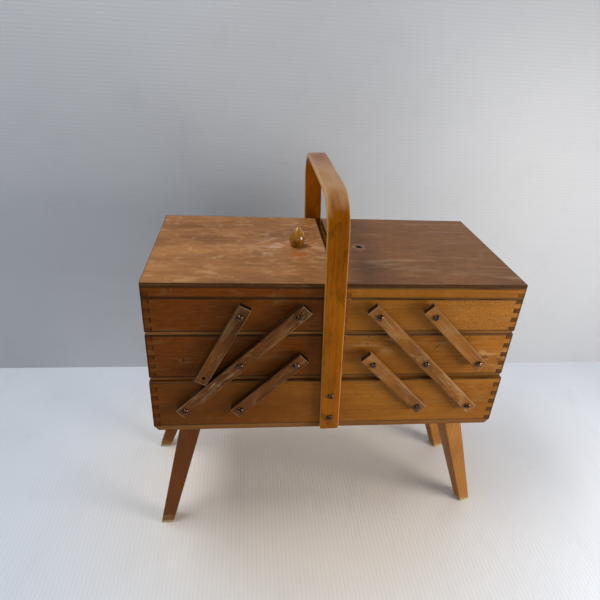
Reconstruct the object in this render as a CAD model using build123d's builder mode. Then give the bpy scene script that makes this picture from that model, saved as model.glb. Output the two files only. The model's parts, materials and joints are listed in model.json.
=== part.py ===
"""Three-tier cantilever sewing box on splayed legs, in millimetres.

X runs along the box, -Y is the front and +Z is up. The origin is on the floor under the
middle of the box. Two pairs of upper trays swing out on wooden arms over one fixed bottom
tray. The box stands closed, with one arm hanging loose, as its lower screw is missing.
"""

from build123d import *

import os
from math import cos, radians, sin, tan

# ---- driving dimensions -------------------------------------------------------------
BOX_LENGTH = 400.0
BOX_DEPTH = 200.0
LEG_HEIGHT = 187.0
WALL = 8.0
INNER_GAP = 8.0  # between the left and the right upper trays when closed
SIDE_CLEARANCE = 3.0  # the upper trays are this much narrower on each side
REST_GAP = 0.4  # between a tray's bottom and the rim it comes down on

BOTTOM_PANEL = 6.0
TRAY_PANEL = 4.0
PANEL_INSET = 1.0
BOTTOM_WALL_HEIGHT = 62.4
MIDDLE_WALL_HEIGHT = 54.0
TOP_WALL_HEIGHT = 40.0
LID_RAIL_HEIGHT = 12.5
LID_PANEL = 4.0
BOTTOM_CORNER_CUT = 5.0

# Swinging arms: each pivot stands one step out and one step down from the next.
ARM_STEP_X = 60.0
ARM_STEP_Z = 60.0
TOP_PIVOT_X = 42.0
BOTTOM_PIVOT_Z = 222.5
ARM_WIDTH = 14.0
ARM_THICKNESS = 8.0
ARM_UPPER_END = 12.0  # wood beyond the upper pivot
ARM_LOWER_END = 8.0
ARM_PLANE = 101.0  # distance of an arm's back face from the middle of the box
LOOSE_ARM_ANGLE = 27.3  # from straight down, where the loose arm rests on the long one

SHANK_RADIUS = 1.7
RUNNING_HOLE_RADIUS = 1.77
SCREW_HOLE_RADIUS = 1.72
LOOP_HOLE_RADIUS = 2.1  # at the pivots that close each parallelogram
EMPTY_HOLE_RADIUS = 1.2  # of the lost screw's pilot hole
SHANK_IN_WALL = 6.0
HEAD_RADIUS = 3.5
HEAD_HEIGHT = 2.6
HEAD_ROUND = 2.3
WASHER_RADIUS = 4.5
ARM_PLAY = 0.3
ARM_EDGE = 0.8

HANDLE_WIDTH = 22.0
HANDLE_THICKNESS = 7.0
HANDLE_TOP = 468.0
HANDLE_BEND = 39.0  # outer radius
HANDLE_LEAN = 2.5  # degrees towards -X
HANDLE_SCREWS_Z = (206.9, 238.5)
HANDLE_FOOT_Z = 190.0
HANDLE_EDGE_ROUND = 2.0

LEG_TOP = 26.0
LEG_FOOT = 16.0
LEG_TOP_X = 158.0
LEG_TOP_Y = 65.0
LEFT_FRONT_FOOT = (-201.0, -71.0)  # this leg stands steeper than the others
LEFT_BACK_FOOT = (-223.0, 70.0)
RIGHT_FRONT_FOOT = (224.0, -54.0)
RIGHT_BACK_FOOT = (221.0, 54.0)
RIGHT_LEG_TURN = 15.0  # degrees about the vertical
LEG_EDGE_ROUND = 1.5
LEG_SCREW_SPACING = 14.0
LEG_SCREW_HEAD = 3.6
LEG_SCREW_LENGTH = 30.0
LEG_SCREW_POINT = 3.0
LEG_SCREW_SINK = 0.1  # of the head below the panel's top

KNOB_X = 37.0
KNOB_HOLE_RADIUS = 2.5
KNOB_TENON_RADIUS = 2.48
KNOB_RADIUS = 9.0
KNOB_HEIGHT = 25.0
KNOB_BASE_RADIUS = 6.0
KNOB_WIDEST_Z = 7.5  # above the lid
KNOB_SHOULDER_RADIUS = 6.5
KNOB_SHOULDER_Z = 16.5

LID_FINGERS = (6.0, 4.5, 2.0)  # from the top of the rails down

HINGE_Y = 55.0
HINGE_LENGTH = 30.0
HINGE_PIN_RADIUS = 1.0
HINGE_PIN_PLAY = 0.05
HINGE_KNUCKLE_RADIUS = 2.0
HINGE_KNUCKLE_GAP = 0.3
HINGE_PLATE_GAP = 0.5  # between a plate and the other half's knuckles
HINGE_OFFSET = 2.5  # of the pin from the wood's outer face
HINGE_LEAF = 1.0
HINGE_LEAF_HEIGHT = 10.0

# ---- levels and places worked out from them -------------------------------------------
BOTTOM_RIM = LEG_HEIGHT + BOTTOM_PANEL + BOTTOM_WALL_HEIGHT
MIDDLE_BASE = BOTTOM_RIM + REST_GAP
MIDDLE_RIM = MIDDLE_BASE + TRAY_PANEL + MIDDLE_WALL_HEIGHT
TOP_BASE = MIDDLE_RIM + REST_GAP
TOP_RIM = TOP_BASE + TRAY_PANEL + TOP_WALL_HEIGHT
LID_BASE = TOP_RIM + REST_GAP
LID_TOP = LID_BASE + LID_RAIL_HEIGHT + LID_PANEL

HALF_LENGTH = BOX_LENGTH / 2
HALF_DEPTH = BOX_DEPTH / 2
TRAY_HALF_DEPTH = HALF_DEPTH - SIDE_CLEARANCE
TRAY_INNER_X = INNER_GAP / 2
HINGE_X = HALF_LENGTH + HINGE_OFFSET
HINGE_Z = (TOP_RIM + LID_BASE) / 2
HANDLE_PIVOT_Z = sum(HANDLE_SCREWS_Z) / 2

# Pivots, as distance from the middle of the box and height, on either side.
T1 = (TOP_PIVOT_X, BOTTOM_PIVOT_Z + 2 * ARM_STEP_Z)
T2 = (TOP_PIVOT_X + ARM_STEP_X, BOTTOM_PIVOT_Z + 2 * ARM_STEP_Z)
M1 = (TOP_PIVOT_X + ARM_STEP_X, BOTTOM_PIVOT_Z + ARM_STEP_Z)
M2 = (TOP_PIVOT_X, BOTTOM_PIVOT_Z + ARM_STEP_Z)
M3 = (TOP_PIVOT_X + 2 * ARM_STEP_X, BOTTOM_PIVOT_Z + ARM_STEP_Z)
B1 = (TOP_PIVOT_X + 2 * ARM_STEP_X, BOTTOM_PIVOT_Z)
B2 = (TOP_PIVOT_X + ARM_STEP_X, BOTTOM_PIVOT_Z)

LEFT, RIGHT = -1, 1
FRONT, BACK = -1, 1
SIDE_NAMES = {LEFT: "left", RIGHT: "right"}
FACE_NAMES = {FRONT: "front", BACK: "back"}

os.makedirs("parts", exist_ok=True)


def save(builder, name):
    """Labels a finished piece and writes its STEP."""
    builder.part.label = name
    export_step(builder.part, f"parts/{name}.step")


def face_plane(face, distance):
    """A plane facing out of the front or back, whose local axes are world X (mirrored at the
    back) and Z."""
    return Plane(origin=(0, face * distance, 0), x_dir=(-face, 0, 0), z_dir=(0, face, 0))


def on_face(face, x, z):
    """A point of the front or back plane, in that plane's own coordinates."""
    return (-face * x, z)


# ---- tray walls with finger joints -----------------------------------------------------
def fingers(base, heights, first_is_long_wall):
    """Bands from the rim down as (low, high, belongs to the long wall)."""
    level = base + sum(heights)
    bands = []
    own = first_is_long_wall
    for height in heights:
        bands.append((level - height, level, own))
        level -= height
        own = not own
    return bands


def long_wall(name, x_low, x_high, half_depth, face, bands, holes=()):
    """A front or back wall. Its ends are notched where the end walls' fingers pass through.
    Each hole is (x, z, radius)."""
    low = min(band[0] for band in bands)
    high = max(band[1] for band in bands)
    middle_y = face * (half_depth - WALL / 2)
    middle_x = (x_low + x_high) / 2
    with BuildPart() as wall:
        with Locations((middle_x, middle_y, (low + high) / 2)):
            Box(x_high - x_low, WALL, high - low)
        for band_low, band_high, own in bands:
            if own:
                continue
            with Locations(
                (x_low + WALL / 2, middle_y, (band_low + band_high) / 2),
                (x_high - WALL / 2, middle_y, (band_low + band_high) / 2),
            ):
                Box(WALL, WALL, band_high - band_low, mode=Mode.SUBTRACT)
        for x, z, radius in holes:
            with BuildSketch(face_plane(face, half_depth)):
                with Locations(on_face(face, x, z)):
                    Circle(radius)
            extrude(amount=-SHANK_IN_WALL - SIDE_CLEARANCE, mode=Mode.SUBTRACT)
    save(wall, name)


def end_wall(name, outer_x, inner_x, half_depth, bands):
    """An end wall, between outer_x and inner_x, notched where the long walls' fingers pass."""
    low = min(band[0] for band in bands)
    high = max(band[1] for band in bands)
    middle_x = (outer_x + inner_x) / 2
    finger_y = half_depth - WALL / 2
    with BuildPart() as wall:
        with Locations((middle_x, 0, (low + high) / 2)):
            Box(WALL, 2 * half_depth, high - low)
        for band_low, band_high, own in bands:
            if not own:
                continue
            with Locations(
                (middle_x, -finger_y, (band_low + band_high) / 2),
                (middle_x, finger_y, (band_low + band_high) / 2),
            ):
                Box(WALL, WALL, band_high - band_low, mode=Mode.SUBTRACT)
    save(wall, name)


def tray_panel(name, x_low, x_high, half_depth, base, thickness):
    """A thin plywood bottom, nailed under the walls and a little smaller than they are."""
    with BuildPart() as panel:
        with Locations(((x_low + x_high) / 2, 0, base + thickness / 2)):
            Box(
                x_high - x_low - 2 * PANEL_INSET,
                2 * half_depth - 2 * PANEL_INSET,
                thickness,
            )
    save(panel, name)


def side_span(side):
    """Lowest and highest X of an upper tray on one side."""
    ends = (side * TRAY_INNER_X, side * HALF_LENGTH)
    return min(ends), max(ends)


def upper_tray(level, side, base, wall_height, finger_count, pivots):
    """Four walls and a bottom panel of a middle or top tray."""
    name = f"{level}_{SIDE_NAMES[side]}"
    x_low, x_high = side_span(side)
    heights = [wall_height / finger_count] * finger_count
    bands = fingers(base + TRAY_PANEL, heights, first_is_long_wall=False)
    for face in (FRONT, BACK):
        holes = []
        for x, z in pivots:
            missing = (x, z) == M3 and side == LEFT and face == FRONT
            radius = EMPTY_HOLE_RADIUS if missing else SCREW_HOLE_RADIUS
            holes.append((side * x, z, radius))
        wall_name = f"{name}_{FACE_NAMES[face]}_wall"
        long_wall(wall_name, x_low, x_high, TRAY_HALF_DEPTH, face, bands, holes)
    end_wall(
        f"{name}_outer_end", side * HALF_LENGTH, side * (HALF_LENGTH - WALL), TRAY_HALF_DEPTH, bands
    )
    end_wall(
        f"{name}_inner_end", side * TRAY_INNER_X, side * (TRAY_INNER_X + WALL), TRAY_HALF_DEPTH, bands
    )
    tray_panel(f"{name}_panel", x_low, x_high, TRAY_HALF_DEPTH, base, TRAY_PANEL)


def bottom_tray():
    """The fixed tray: walls with finger joints over a thicker bottom with cut corners."""
    count = 10
    heights = [BOTTOM_WALL_HEIGHT / count] * count
    bands = fingers(LEG_HEIGHT + BOTTOM_PANEL, heights, first_is_long_wall=True)
    holes = []
    for side in (LEFT, RIGHT):
        holes += [(side * x, z, SCREW_HOLE_RADIUS) for x, z in (B1, B2)]
    for z in HANDLE_SCREWS_Z:
        holes.append((handle_x(z), z, SCREW_HOLE_RADIUS))
    for face in (FRONT, BACK):
        name = f"bottom_{FACE_NAMES[face]}_wall"
        long_wall(name, -HALF_LENGTH, HALF_LENGTH, HALF_DEPTH, face, bands, holes)
    for side in (LEFT, RIGHT):
        name = f"bottom_{SIDE_NAMES[side]}_end"
        end_wall(name, side * HALF_LENGTH, side * (HALF_LENGTH - WALL), HALF_DEPTH, bands)

    with BuildPart() as panel:
        with BuildSketch(Plane.XZ.offset(-HALF_DEPTH)):
            with BuildLine():
                Polyline(
                    (-HALF_LENGTH, LEG_HEIGHT + BOTTOM_PANEL),
                    (-HALF_LENGTH + BOTTOM_CORNER_CUT, LEG_HEIGHT),
                    (HALF_LENGTH - BOTTOM_CORNER_CUT, LEG_HEIGHT),
                    (HALF_LENGTH, LEG_HEIGHT + BOTTOM_PANEL),
                    close=True,
                )
            make_face()
        extrude(amount=BOX_DEPTH)
        with Locations(Plane.XY.offset(LEG_HEIGHT + BOTTOM_PANEL)):
            with Locations(*leg_screw_places()):
                CounterSinkHole(SCREW_HOLE_RADIUS, LEG_SCREW_HEAD, depth=BOTTOM_PANEL)
    save(panel, "bottom_panel")


# ---- legs ------------------------------------------------------------------------------
def leg_screw_places():
    """Two screws into the top of each leg, as (x, y)."""
    places = []
    for side in (LEFT, RIGHT):
        for face in (FRONT, BACK):
            for shift in (-0.5, 0.5):
                y = face * LEG_TOP_Y + shift * LEG_SCREW_SPACING
                places.append((side * LEG_TOP_X, y))
    return places


def leg(side, face, foot):
    """A square tapered leg that splays outwards to its foot, cut level at both ends."""
    turn = RIGHT_LEG_TURN if side == RIGHT else 0.0
    with BuildPart() as piece:
        with BuildSketch(Plane.XY):
            with Locations(foot):
                RectangleRounded(LEG_FOOT, LEG_FOOT, LEG_EDGE_ROUND, rotation=turn)
        with BuildSketch(Plane.XY.offset(LEG_HEIGHT)):
            with Locations((side * LEG_TOP_X, face * LEG_TOP_Y)):
                RectangleRounded(LEG_TOP, LEG_TOP, LEG_EDGE_ROUND, rotation=turn)
        loft()
        with Locations(Plane.XY.offset(LEG_HEIGHT)):
            for shift in (-0.5, 0.5):
                y = face * LEG_TOP_Y + shift * LEG_SCREW_SPACING
                with Locations((side * LEG_TOP_X, y)):
                    Hole(SCREW_HOLE_RADIUS, depth=LEG_SCREW_LENGTH - BOTTOM_PANEL + 1)
    save(piece, f"leg_{FACE_NAMES[face]}_{SIDE_NAMES[side]}")


def leg_screws():
    """Countersunk wood screws down through the bottom panel into the legs."""
    top = LEG_HEIGHT + BOTTOM_PANEL - LEG_SCREW_SINK
    head = LEG_SCREW_HEAD - LEG_SCREW_SINK
    tip = LEG_HEIGHT + BOTTOM_PANEL - LEG_SCREW_LENGTH
    with BuildPart() as screws:
        for x, y in leg_screw_places():
            with BuildSketch(Plane(origin=(x, y, 0), x_dir=(1, 0, 0), z_dir=(0, -1, 0))):
                with BuildLine():
                    Polyline(
                        (0, top),
                        (head, top),
                        (SHANK_RADIUS, top - head + SHANK_RADIUS),
                        (SHANK_RADIUS, tip + LEG_SCREW_POINT),
                        (0, tip),
                        close=True,
                    )
                make_face()
            revolve(axis=Axis((x, y, 0), (0, 0, 1)))
    save(screws, "leg_screws")


# ---- arms and their screws ---------------------------------------------------------------
def arm(name, face, lower, upper, radii, lower_end=ARM_LOWER_END):
    """A flat arm between two pivots, given as (x, z). Its holes are spread evenly from the
    lower pivot to the upper one, with the given radii."""
    (x0, z0), (x1, z1) = lower, upper
    reach = ((x1 - x0) ** 2 + (z1 - z0) ** 2) ** 0.5
    along = ((x1 - x0) / reach, 0, (z1 - z0) / reach)
    plane = Plane(origin=(x0, face * ARM_PLANE, z0), x_dir=along, z_dir=(0, face, 0))
    length = lower_end + reach + ARM_UPPER_END
    pitch = reach / (len(radii) - 1)
    with BuildPart() as piece:
        with BuildSketch(plane):
            with Locations((length / 2 - lower_end, 0)):
                Rectangle(length, ARM_WIDTH)
            for index, radius in enumerate(radii):
                with Locations((index * pitch, 0)):
                    Circle(radius, mode=Mode.SUBTRACT)
        extrude(amount=ARM_THICKNESS)
        straight = piece.edges().filter_by(GeomType.LINE)
        long_edges = straight.filter_by(lambda edge: edge.length > length / 2)
        chamfer(long_edges.group_by(Axis.Y)[0 if face == FRONT else -1], ARM_EDGE)
    save(piece, name)


def side_pivot(side, pivot):
    """A pivot on one side as (x, z)."""
    return (side * pivot[0], pivot[1])


def loose_arm():
    """The arm whose lower screw is missing: it hangs from the top tray on the long arm."""
    upper = side_pivot(LEFT, T2)
    reach = (ARM_STEP_X**2 + ARM_STEP_Z**2) ** 0.5
    angle = radians(LOOSE_ARM_ANGLE)
    lower = (upper[0] - reach * sin(angle), upper[1] - reach * cos(angle))
    radii = (RUNNING_HOLE_RADIUS, RUNNING_HOLE_RADIUS)
    arm("left_loose_arm", FRONT, lower, upper, radii)


def arms():
    """Every arm, on both sides and both faces."""
    running, loop = RUNNING_HOLE_RADIUS, LOOP_HOLE_RADIUS
    for side in (LEFT, RIGHT):
        for face in (FRONT, BACK):
            start, end = SIDE_NAMES[side], FACE_NAMES[face]
            b1, t1 = side_pivot(side, B1), side_pivot(side, T1)
            arm(f"{start}_long_arm_{end}", face, b1, t1, (running, running, running))
            b2, m2 = side_pivot(side, B2), side_pivot(side, M2)
            arm(f"{start}_lower_arm_{end}", face, b2, m2, (running, loop))
            if (side, face) != (LEFT, FRONT):
                m3, t2 = side_pivot(side, M3), side_pivot(side, T2)
                arm(f"{start}_upper_arm_{end}", face, m3, t2, (running, loop))
    loose_arm()


def dome_screws(name, places, wall_distance, seat, washer=0.0):
    """Dome-headed screws standing out of the front and back, whose heads sit at seat. Each
    place is (face, x, z). A washer of the given thickness spaces the arm off the wall."""
    tip = wall_distance - SHANK_IN_WALL
    with BuildPart() as screws:
        for face in (FRONT, BACK):
            spots = [on_face(face, x, z) for own_face, x, z in places if own_face == face]
            with BuildSketch(face_plane(face, tip)):
                with Locations(*spots):
                    Circle(SHANK_RADIUS)
            extrude(amount=seat - tip)
            with BuildSketch(face_plane(face, seat)):
                with Locations(*spots):
                    Circle(HEAD_RADIUS)
            extrude(amount=HEAD_HEIGHT)
            if washer:
                with BuildSketch(face_plane(face, wall_distance)):
                    with Locations(*spots):
                        Circle(WASHER_RADIUS)
                extrude(amount=washer)
        head_edges = screws.edges().filter_by(GeomType.CIRCLE)
        crown = seat + HEAD_HEIGHT / 2
        fillet(head_edges.filter_by(lambda edge: abs(edge.center().Y) > crown), HEAD_ROUND)
    save(screws, name)


def pivot_screws():
    """The screws that the arms turn on, standing in each tray."""
    seat = ARM_PLANE + ARM_THICKNESS + ARM_PLAY
    places = []
    for side in (LEFT, RIGHT):
        for x, z in (B1, B2):
            places += [(FRONT, side * x, z), (BACK, side * x, z)]
    washer = ARM_PLANE - ARM_PLAY - HALF_DEPTH
    dome_screws("bottom_pivot_screws", places, HALF_DEPTH, seat, washer)
    washer = ARM_PLANE - ARM_PLAY - TRAY_HALF_DEPTH
    for side in (LEFT, RIGHT):
        for level, pivots in (("middle", (M1, M2, M3)), ("top", (T1, T2))):
            places = []
            for x, z in pivots:
                places.append((BACK, side * x, z))
                if (side, (x, z)) != (LEFT, M3):
                    places.append((FRONT, side * x, z))
            name = f"{level}_{SIDE_NAMES[side]}_pivot_screws"
            dome_screws(name, places, TRAY_HALF_DEPTH, seat, washer)


# ---- handle --------------------------------------------------------------------------------
def handle_x(z):
    """X of the leaning handle's centre line at height z."""
    return -(z - HANDLE_PIVOT_Z) * tan(radians(HANDLE_LEAN))


def handle():
    """A bent strip that runs up the front, over the top and down the back."""
    lean = radians(HANDLE_LEAN)
    plane = Plane(
        origin=(0, 0, HANDLE_PIVOT_Z), x_dir=(0, 1, 0), z_dir=(cos(lean), 0, sin(lean))
    )
    outer = HALF_DEPTH + HANDLE_THICKNESS
    foot = HANDLE_FOOT_Z - HANDLE_PIVOT_Z
    top = HANDLE_TOP - HANDLE_PIVOT_Z
    inner_bend = HANDLE_BEND - HANDLE_THICKNESS
    with BuildPart() as strip:
        with BuildSketch(plane):
            with BuildLine():
                FilletPolyline(
                    (-outer, foot), (-outer, top), (outer, top), (outer, foot), radius=HANDLE_BEND
                )
                Line((outer, foot), (HALF_DEPTH, foot))
                FilletPolyline(
                    (HALF_DEPTH, foot),
                    (HALF_DEPTH, top - HANDLE_THICKNESS),
                    (-HALF_DEPTH, top - HANDLE_THICKNESS),
                    (-HALF_DEPTH, foot),
                    radius=inner_bend,
                )
                Line((-HALF_DEPTH, foot), (-outer, foot))
            make_face()
        extrude(amount=HANDLE_WIDTH / 2, both=True)
        strip_sides = strip.faces().sort_by(Axis(plane.origin, plane.z_dir))
        fillet(strip_sides[0].edges() + strip_sides[-1].edges(), HANDLE_EDGE_ROUND)
        for z in HANDLE_SCREWS_Z:
            with BuildSketch(Plane.XZ.offset(-2 * BOX_DEPTH)):
                with Locations((handle_x(z), z)):
                    Circle(SCREW_HOLE_RADIUS)
            extrude(amount=4 * BOX_DEPTH, mode=Mode.SUBTRACT)
    save(strip, "handle")

    places = []
    for z in HANDLE_SCREWS_Z:
        places += [(FRONT, handle_x(z), z), (BACK, handle_x(z), z)]
    dome_screws("handle_screws", places, HALF_DEPTH, outer)


# ---- lids ----------------------------------------------------------------------------------
def lid(side):
    """A shallow frame of four finger-jointed rails under a plywood panel."""
    name = f"{SIDE_NAMES[side]}_lid"
    x_low, x_high = side_span(side)
    middle_x = (x_low + x_high) / 2
    length = x_high - x_low
    bands = fingers(LID_BASE, LID_FINGERS, first_is_long_wall=True)
    rail_y = TRAY_HALF_DEPTH - WALL / 2
    rail_x = length / 2 - WALL / 2
    with BuildPart() as long_rails:
        with Locations((middle_x, -rail_y, LID_BASE + LID_RAIL_HEIGHT / 2)):
            Box(length, WALL, LID_RAIL_HEIGHT)
        with Locations((middle_x, rail_y, LID_BASE + LID_RAIL_HEIGHT / 2)):
            Box(length, WALL, LID_RAIL_HEIGHT)
        for low, high, own in bands:
            if not own:
                with Locations((middle_x, 0, (low + high) / 2)):
                    with GridLocations(2 * rail_x, 2 * rail_y, 2, 2):
                        Box(WALL, WALL, high - low, mode=Mode.SUBTRACT)
    save(long_rails, f"{name}_long_rails")

    with BuildPart() as end_rails:
        with Locations((middle_x, 0, LID_BASE + LID_RAIL_HEIGHT / 2)):
            with GridLocations(2 * rail_x, 0, 2, 1):
                Box(WALL, 2 * TRAY_HALF_DEPTH, LID_RAIL_HEIGHT)
        for low, high, own in bands:
            if own:
                with Locations((middle_x, 0, (low + high) / 2)):
                    with GridLocations(2 * rail_x, 2 * rail_y, 2, 2):
                        Box(WALL, WALL, high - low, mode=Mode.SUBTRACT)
    save(end_rails, f"{name}_end_rails")

    with BuildPart() as panel:
        with Locations((middle_x, 0, LID_TOP - LID_PANEL / 2)):
            Box(length, 2 * TRAY_HALF_DEPTH, LID_PANEL)
        with Locations(Plane.XY.offset(LID_TOP)):
            with Locations((side * KNOB_X, 0)):
                Hole(KNOB_HOLE_RADIUS, depth=LID_PANEL)
    save(panel, f"{name}_panel")


def knob():
    """A turned teardrop knob with a tenon glued into the left lid's hole."""
    x = -KNOB_X
    with BuildPart() as piece:
        with BuildSketch(Plane(origin=(x, 0, LID_TOP), x_dir=(1, 0, 0), z_dir=(0, -1, 0))):
            with BuildLine():
                Line((0, -LID_PANEL), (KNOB_TENON_RADIUS, -LID_PANEL))
                Line((KNOB_TENON_RADIUS, -LID_PANEL), (KNOB_TENON_RADIUS, 0))
                Line((KNOB_TENON_RADIUS, 0), (KNOB_BASE_RADIUS, 0))
                Spline(
                    (KNOB_BASE_RADIUS, 0),
                    (KNOB_RADIUS, KNOB_WIDEST_Z),
                    (KNOB_SHOULDER_RADIUS, KNOB_SHOULDER_Z),
                    (0, KNOB_HEIGHT),
                    tangents=((0.7, 0.7), (-1, 0.12)),
                )
                Line((0, KNOB_HEIGHT), (0, -LID_PANEL))
            make_face()
        revolve(axis=Axis((x, 0, 0), (0, 0, 1)))
    save(piece, "knob")


# ---- lid hinges ----------------------------------------------------------------------------
def hinge_leaves(name, side, up, knuckle_shifts, knuckle_width):
    """Two hinge leaves on an outer end, above the pin line for the lid or below it for the
    tray. Each leaf has knuckles at the given shifts along the pin."""
    leaf_x = side * (HALF_LENGTH + HINGE_LEAF / 2)
    gap = HINGE_KNUCKLE_RADIUS + HINGE_PLATE_GAP
    plate = HINGE_LEAF_HEIGHT - gap
    tab = gap - REST_GAP / 2
    with BuildPart() as leaves:
        for centre_y in (-HINGE_Y, HINGE_Y):
            with Locations((leaf_x, centre_y, HINGE_Z + up * (gap + plate / 2))):
                Box(HINGE_LEAF, HINGE_LENGTH, plate)
            for shift in knuckle_shifts:
                y = centre_y + shift
                with Locations((leaf_x, y, HINGE_Z + up * (gap - tab / 2))):
                    Box(HINGE_LEAF, knuckle_width, tab)
                with Locations((side * HINGE_X, y, HINGE_Z)):
                    Cylinder(HINGE_KNUCKLE_RADIUS, knuckle_width, rotation=(90, 0, 0))
            with Locations((side * HINGE_X, centre_y, HINGE_Z)):
                if up > 0:
                    Cylinder(
                        HINGE_PIN_RADIUS + HINGE_PIN_PLAY,
                        HINGE_LENGTH,
                        rotation=(90, 0, 0),
                        mode=Mode.SUBTRACT,
                    )
                else:
                    Cylinder(HINGE_PIN_RADIUS, HINGE_LENGTH, rotation=(90, 0, 0))
    save(leaves, name)


def hinges(side):
    """Both halves of the two hinges at one lid's outer end."""
    third = HINGE_LENGTH / 3
    name = SIDE_NAMES[side]
    hinge_leaves(f"{name}_tray_hinge_leaves", side, -1, (-third, third), third)
    hinge_leaves(f"{name}_lid_hinge_leaves", side, 1, (0,), third - 2 * HINGE_KNUCKLE_GAP)


bottom_tray()
for side in (LEFT, RIGHT):
    upper_tray("middle", side, MIDDLE_BASE, MIDDLE_WALL_HEIGHT, 9, (M1, M2, M3))
    upper_tray("top", side, TOP_BASE, TOP_WALL_HEIGHT, 7, (T1, T2))
    lid(side)
    hinges(side)
leg(LEFT, FRONT, LEFT_FRONT_FOOT)
leg(LEFT, BACK, LEFT_BACK_FOOT)
leg(RIGHT, FRONT, RIGHT_FRONT_FOOT)
leg(RIGHT, BACK, RIGHT_BACK_FOOT)
leg_screws()
arms()
pivot_screws()
handle()
knob()
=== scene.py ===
"""Looks for the wooden cantilever sewing box: varnished wood, metal screws and hinges, the
knob, the floor, the wall and the lights. All lengths are in metres, in the CAD frame."""

import json
import math
import random

import bpy
from mathutils import Euler, Matrix, Vector


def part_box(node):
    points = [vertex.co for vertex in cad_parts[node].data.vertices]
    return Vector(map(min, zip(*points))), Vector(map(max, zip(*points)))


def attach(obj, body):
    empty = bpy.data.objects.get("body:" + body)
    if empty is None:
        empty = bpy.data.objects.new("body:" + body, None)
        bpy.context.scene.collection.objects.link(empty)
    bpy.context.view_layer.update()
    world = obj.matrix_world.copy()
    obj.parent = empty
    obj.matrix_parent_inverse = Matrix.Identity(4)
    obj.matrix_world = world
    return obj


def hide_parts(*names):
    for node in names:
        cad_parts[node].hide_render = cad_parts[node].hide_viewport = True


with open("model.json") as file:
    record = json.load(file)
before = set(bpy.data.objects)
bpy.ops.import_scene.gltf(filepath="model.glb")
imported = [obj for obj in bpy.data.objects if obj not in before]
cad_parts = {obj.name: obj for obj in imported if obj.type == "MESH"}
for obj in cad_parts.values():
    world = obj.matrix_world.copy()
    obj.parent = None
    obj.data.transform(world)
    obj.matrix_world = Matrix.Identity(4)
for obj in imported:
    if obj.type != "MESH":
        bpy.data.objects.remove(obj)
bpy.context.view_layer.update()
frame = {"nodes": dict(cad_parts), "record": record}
NODES = frame["nodes"]

MM = 0.001
X_AXIS, Y_AXIS, Z_AXIS = Vector((1, 0, 0)), Vector((0, 1, 0)), Vector((0, 0, 1))
HANDLE_LEAN = math.radians(2.5)
HANDLE_PIVOT_Z = 222.7 * MM
HALF_LENGTH = 200 * MM


# ---- places worked out from the frame -----------------------------------------------------
def corners(node):
    """Every vertex of a CAD node, in the row frame."""
    return [vertex.co for vertex in NODES[node].data.vertices]


def span(points):
    """Lowest and highest corner of some points."""
    low = Vector([min(p[axis] for p in points) for axis in range(3)])
    high = Vector([max(p[axis] for p in points) for axis in range(3)])
    return low, high


LID_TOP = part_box("left_lid_panel")[1].z
KNOB_LOW, KNOB_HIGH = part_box("knob")
KNOB_CENTRE = Vector(((KNOB_LOW.x + KNOB_HIGH.x) / 2, (KNOB_LOW.y + KNOB_HIGH.y) / 2, LID_TOP))
HOLE_CENTRE = Vector((-KNOB_CENTRE.x, KNOB_CENTRE.y, LID_TOP))
KNOB_RADIUS = (KNOB_HIGH.x - KNOB_LOW.x) / 2
KNOB_HEIGHT = KNOB_HIGH.z - LID_TOP


def screw_spots(node):
    """The box of each separate screw in a node of many screws."""
    apart = 12 * MM
    groups = []
    for point in corners(node):
        for group in groups:
            first = group[0]
            near = abs(first.x - point.x) < apart and abs(first.z - point.z) < apart
            if near and first.y * point.y > 0:
                group.append(point)
                break
        else:
            groups.append([point])
    return [span(group) for group in groups]


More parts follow.
